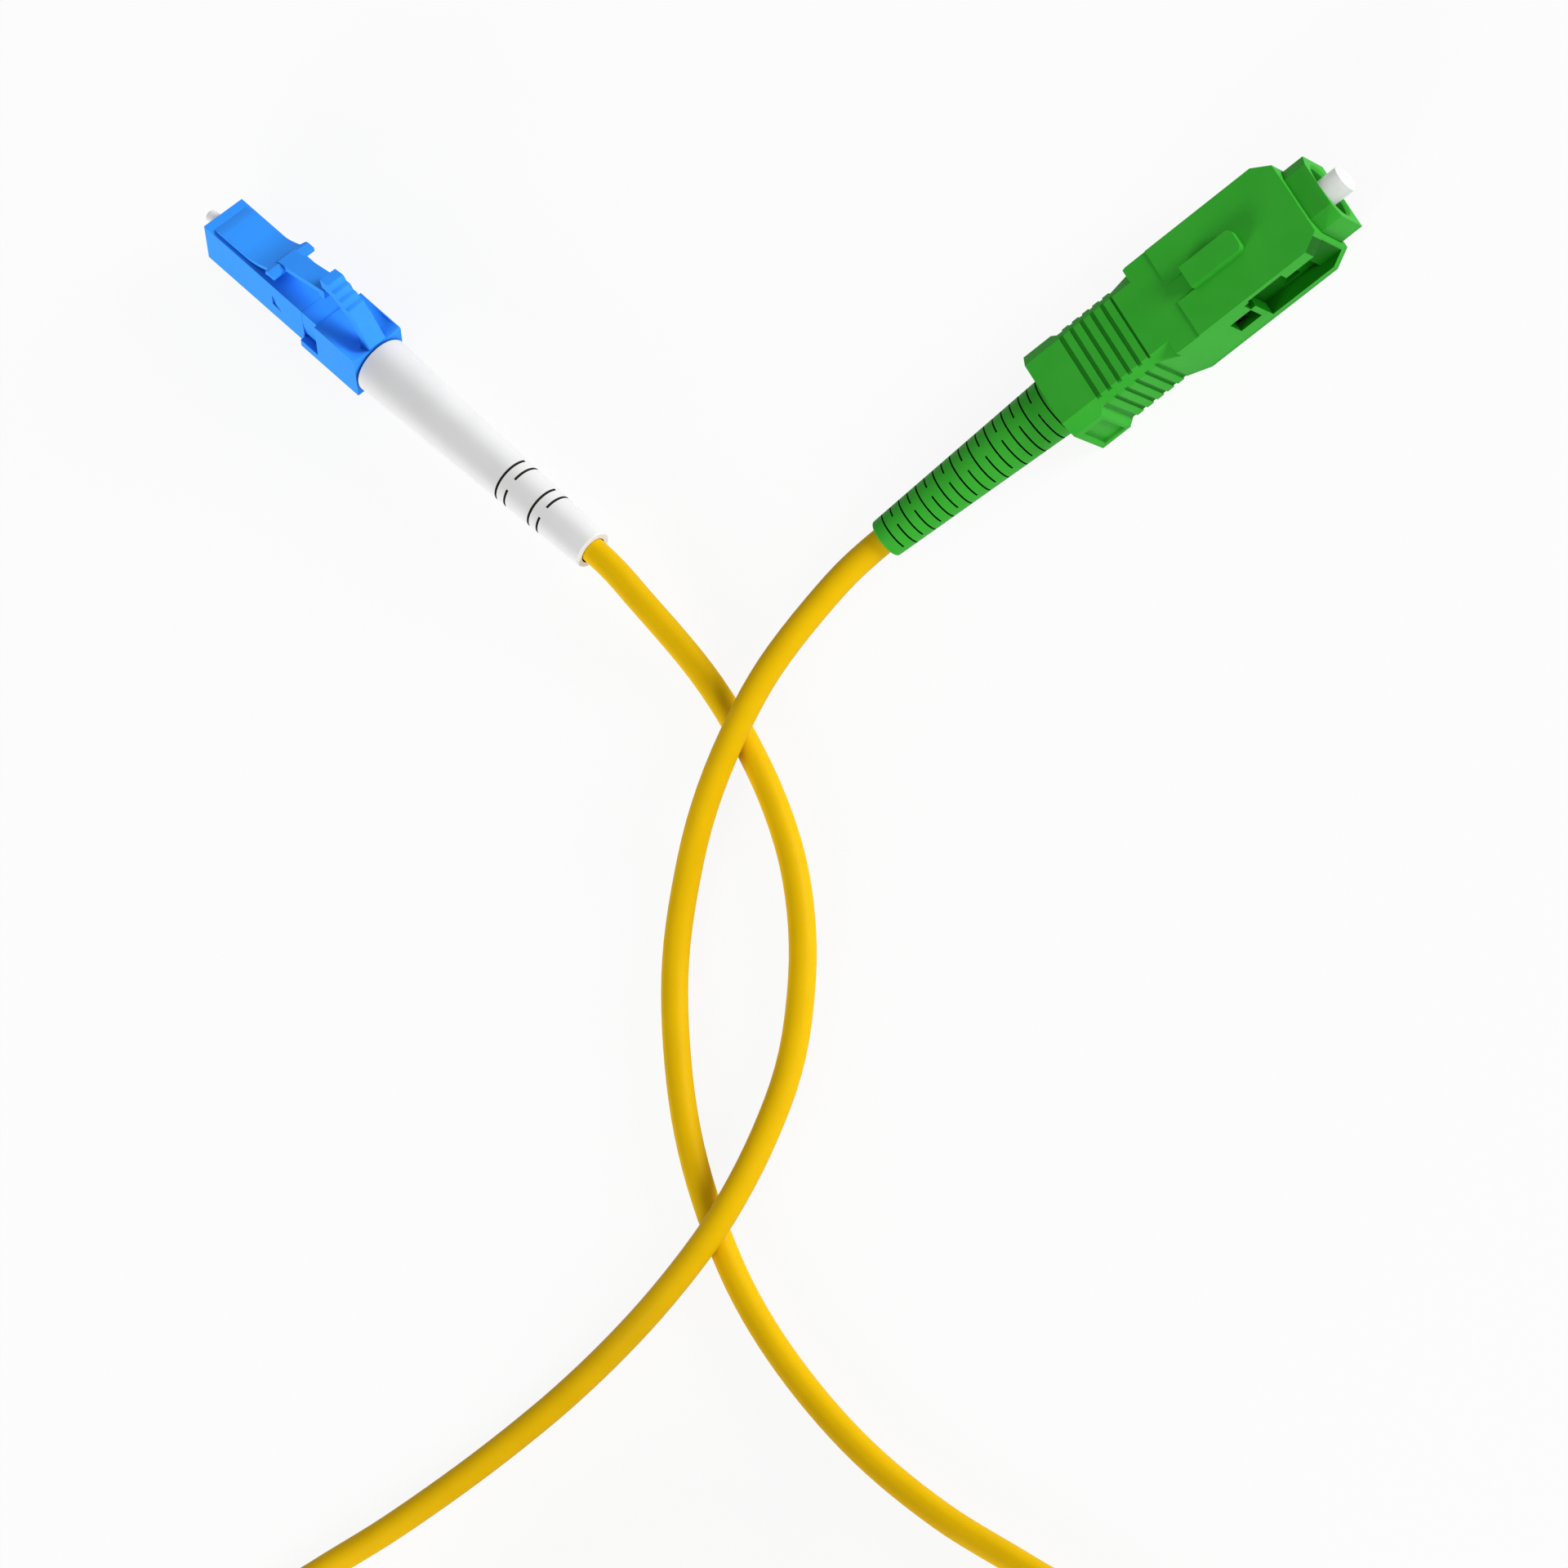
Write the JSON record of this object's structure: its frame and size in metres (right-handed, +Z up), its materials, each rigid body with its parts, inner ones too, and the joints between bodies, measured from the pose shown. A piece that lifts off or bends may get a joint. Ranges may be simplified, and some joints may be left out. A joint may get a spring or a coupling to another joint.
{
  "type": "fiber optic patch cord",
  "caption": "Simplex fibre optic patch cord: a blue latching plug and a green push-pull plug with strain-relief boots, joined by a long yellow jacketed cord.",
  "frame": {"origin": "on the surface the cord lies on, under the middle of the box round the two plugs; the cord and its coil are left out of that box", "axes": "+Z up from the surface; +X from the blue plug towards the green plug; +Y away from the cord, towards the plugs' free ends"},
  "size_m": [0.1111, 0.1722, 0.0125],
  "materials": {
    "zirconia": null,
    "flange_metal": "turned, nickel flashed",
    "fibre_buffer": "tight buffer, matt white",
    "spring_steel": "bright stainless spring wire",
    "blue_plastic": "moulded, fine satin, blue",
    "crimp_metal": "turned, bright",
    "aramid": "crimped yarn, drawn as one layer",
    "white_boot": "soft moulded, white",
    "green_plastic": "moulded, fine satin, green",
    "green_boot": "soft moulded, green",
    "yellow_jacket": "extruded jacket, satin, yellow",
    "tie_fabric": "hook and loop strap, dark grey"
  },
  "bodies": {
    "cord_assembly": {"cord_lc_run": "yellow_jacket", "cord_coil": "yellow_jacket", "cord_sc_run": "yellow_jacket", "coil_ties": "tie_fabric", "lc_plug_body": "blue_plastic", "lc_rear_body": "blue_plastic", "lc_crimp_body": "crimp_metal", "lc_crimp_ring": "crimp_metal", "lc_aramid_yarn": "aramid", "lc_boot": "white_boot", "lc_spring": "spring_steel", "sc_plug_frame": "green_plastic", "sc_crimp_body": "crimp_metal", "sc_crimp_ring": "crimp_metal", "sc_aramid_yarn": "aramid", "sc_boot": "green_boot", "sc_spring": "spring_steel"},
    "lc_ferrule_body": {"lc_ferrule": "zirconia", "lc_ferrule_flange": "flange_metal", "lc_buffered_fibre": "fibre_buffer"},
    "lc_latch": {"lc_latch": "blue_plastic"},
    "lc_trigger": {"lc_trigger": "blue_plastic"},
    "sc_grip": {"sc_grip_housing": "green_plastic"},
    "sc_ferrule_body": {"sc_ferrule": "zirconia", "sc_ferrule_flange": "flange_metal", "sc_buffered_fibre": "fibre_buffer"}
  },
  "joints": [
    {"name": "lc_trigger_press", "type": "hinge", "parent": "cord_assembly", "child": "lc_trigger", "pos_m": [-0.03662, 0.00325, 0.00547], "axis": [-0.4975, -0.6507, 0.5736], "range_deg": [0, 18], "stiffness_Nm_per_rad": 0.05},
    {"name": "lc_latch_flex", "type": "hinge", "parent": "cord_assembly", "child": "lc_latch", "pos_m": [-0.04845, 0.01231, 0.00548], "axis": [0.4975, 0.6507, -0.5736], "range_deg": [0, 10.9]},
    {"name": "lc_ferrule_float", "type": "slide", "parent": "cord_assembly", "child": "lc_ferrule_body", "axis": [0.7944, -0.6074, 0], "range_m": [0, 0.0007], "stiffness_N_per_m": 2000, "deforming": ["lc_spring"]},
    {"name": "sc_grip_slide", "type": "slide", "parent": "cord_assembly", "child": "sc_grip", "axis": [-0.809, -0.5878, 0], "range_m": [0, 0.002]},
    {"name": "sc_ferrule_float", "type": "slide", "parent": "cord_assembly", "child": "sc_ferrule_body", "axis": [-0.809, -0.5878, 0], "range_m": [0, 0.001], "stiffness_N_per_m": 2000, "deforming": ["sc_spring"]}
  ],
  "couplings": [
    {"joint": "lc_latch_flex", "follows": "lc_trigger_press", "ratio": 0.6}
  ]
}
